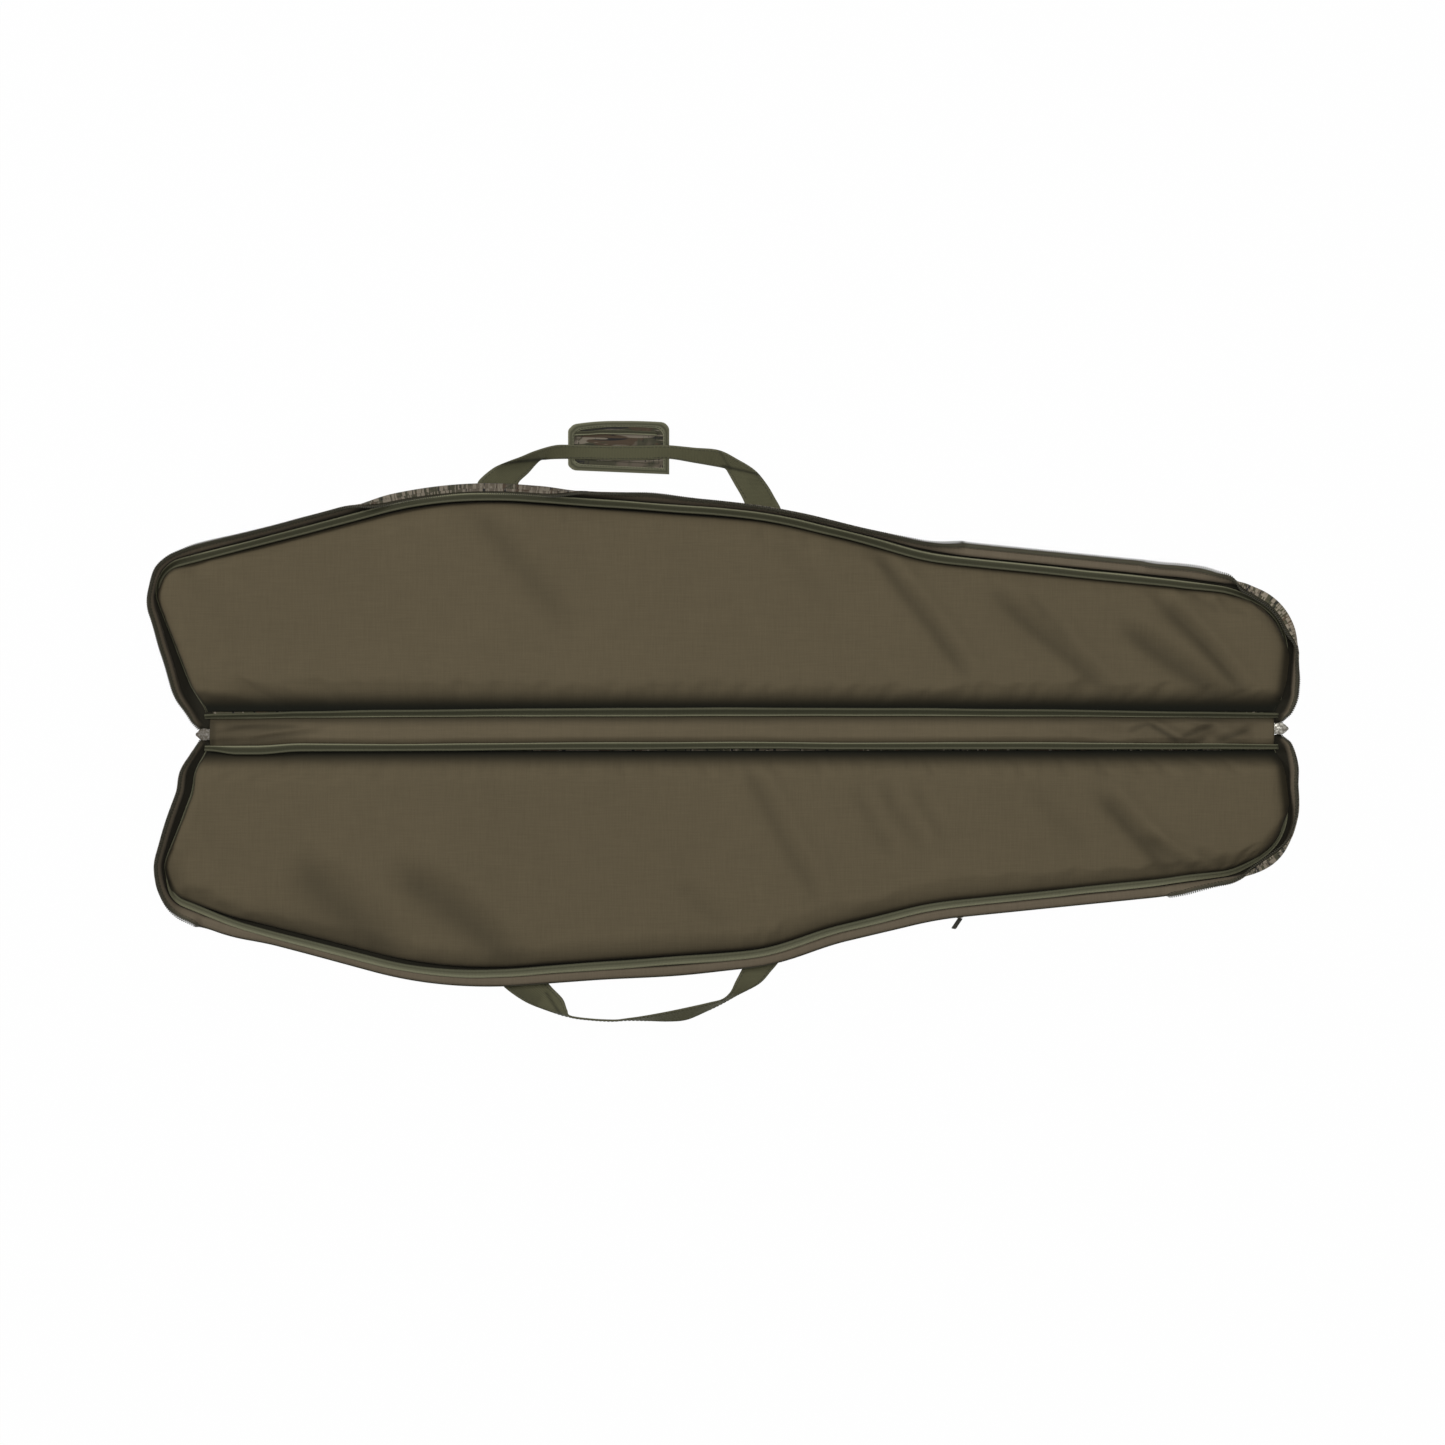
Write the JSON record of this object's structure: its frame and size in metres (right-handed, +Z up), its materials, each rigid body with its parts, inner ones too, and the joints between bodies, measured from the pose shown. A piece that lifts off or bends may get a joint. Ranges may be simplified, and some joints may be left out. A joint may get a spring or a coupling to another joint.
{
  "type": "soft padded long case",
  "caption": "Soft padded long case, unzipped and laid flat with its lining up: two foam-padded halves on a spine strip, half gussets with a zip, webbing handles and a handle wrap.",
  "frame": {"origin": "middle of the spine's underside, on the surface that the opened case lies on", "axes": "+X along the case from the butt end to the muzzle end, +Y across the spine to the half with the handle wrap, +Z up out of the lining"},
  "size_m": [1.2176, 0.6383, 0.0212],
  "materials": {
    "camo_fabric": "woven polyester, printed camouflage",
    "lining_fabric": "smooth lining cloth",
    "foam": "polyethylene foam",
    "binding": "folded binding tape",
    "webbing": "woven webbing",
    "zip_tape": "knitted zip tape",
    "zip_coil": "nylon coil",
    "zip_metal_painted": "painted zinc slider",
    "zip_metal_bare": "bare zinc slider",
    "pull_cord": "cord pull",
    "hook_and_loop": "hook and loop tape"
  },
  "bodies": {
    "lower_half": {"lower_shell": "camo_fabric", "lower_foam": "foam", "lower_lining": "lining_fabric", "lower_binding": "binding", "lower_wall": "camo_fabric", "lower_zip_tape": "zip_tape", "lower_zip_coil": "zip_coil", "lower_left_strap": "webbing", "lower_right_strap": "webbing", "pocket_panel": "camo_fabric", "pocket_zip_tape": "zip_tape", "pocket_zip_coil": "zip_coil"},
    "spine": {"spine_shell": "camo_fabric", "spine_foam": "foam", "spine_lining": "lining_fabric", "spine_upper_binding": "binding", "spine_lower_binding": "binding", "butt_end_tab": "lining_fabric", "butt_chain_end": "zip_coil", "butt_slider": "zip_metal_painted", "muzzle_end_tab": "lining_fabric", "muzzle_chain_end": "zip_coil", "muzzle_slider": "zip_metal_bare"},
    "upper_half": {"upper_shell": "camo_fabric", "upper_foam": "foam", "upper_lining": "lining_fabric", "upper_binding": "binding", "upper_wall": "camo_fabric", "upper_zip_tape": "zip_tape", "upper_zip_coil": "zip_coil", "upper_left_strap": "webbing", "upper_right_strap": "webbing"},
    "upper_handle": {"upper_handle": "webbing", "wrap_base": "camo_fabric", "wrap_loop_patch": "hook_and_loop"},
    "wrap_flap": {"wrap_flap": "camo_fabric", "wrap_hook_patch": "hook_and_loop"},
    "lower_handle": {"lower_handle": "webbing"},
    "butt_pull": {"butt_pull": "zip_metal_painted"},
    "muzzle_pull": {"muzzle_pull": "zip_metal_bare"},
    "pocket_slider": {"pocket_slider": "zip_metal_painted"},
    "pocket_pull": {"pocket_pull": "pull_cord"}
  },
  "joints": [
    {"name": "spine_fold", "type": "hinge", "parent": "lower_half", "child": "spine", "pos_m": [0, -0.019, 0.0027], "axis": [1, 0, 0], "range_deg": [0, 90]},
    {"name": "upper_fold", "type": "hinge", "parent": "spine", "child": "upper_half", "pos_m": [0, 0.019, 0.0027], "axis": [1, 0, 0], "range_deg": [0, 90]},
    {"name": "upper_handle_swing", "type": "hinge", "parent": "upper_half", "child": "upper_handle", "pos_m": [0, 0.268, 0.002], "axis": [1, 0, 0], "range_deg": [0, 90]},
    {"name": "lower_handle_swing", "type": "hinge", "parent": "lower_half", "child": "lower_handle", "pos_m": [0, -0.268, 0.002], "axis": [1, 0, 0], "range_deg": [-90, 0]},
    {"name": "wrap_fold", "type": "hinge", "parent": "upper_handle", "child": "wrap_flap", "pos_m": [-0.11, 0.30615, 0.004], "axis": [1, 0, 0], "range_deg": [0, 170]},
    {"name": "butt_pull_swing", "type": "hinge", "parent": "spine", "child": "butt_pull", "pos_m": [-0.542, -0.0037, 0.0008], "axis": [0, -1, 0], "range_deg": [0, 150]},
    {"name": "muzzle_pull_swing", "type": "hinge", "parent": "spine", "child": "muzzle_pull", "pos_m": [0.5835, 0.0026, 0.0008], "axis": [0, 1, 0], "range_deg": [0, 150]},
    {"name": "pocket_slide", "type": "slide", "parent": "lower_half", "child": "pocket_slider", "axis": [0.995, 0.1003, 0], "range_m": [0, 0.25]},
    {"name": "pocket_pull_swing", "type": "hinge", "parent": "pocket_slider", "child": "pocket_pull", "pos_m": [0.2602, -0.19892, 0.0017], "axis": [-0.995, -0.1003, 0], "range_deg": [0, 90]}
  ]
}
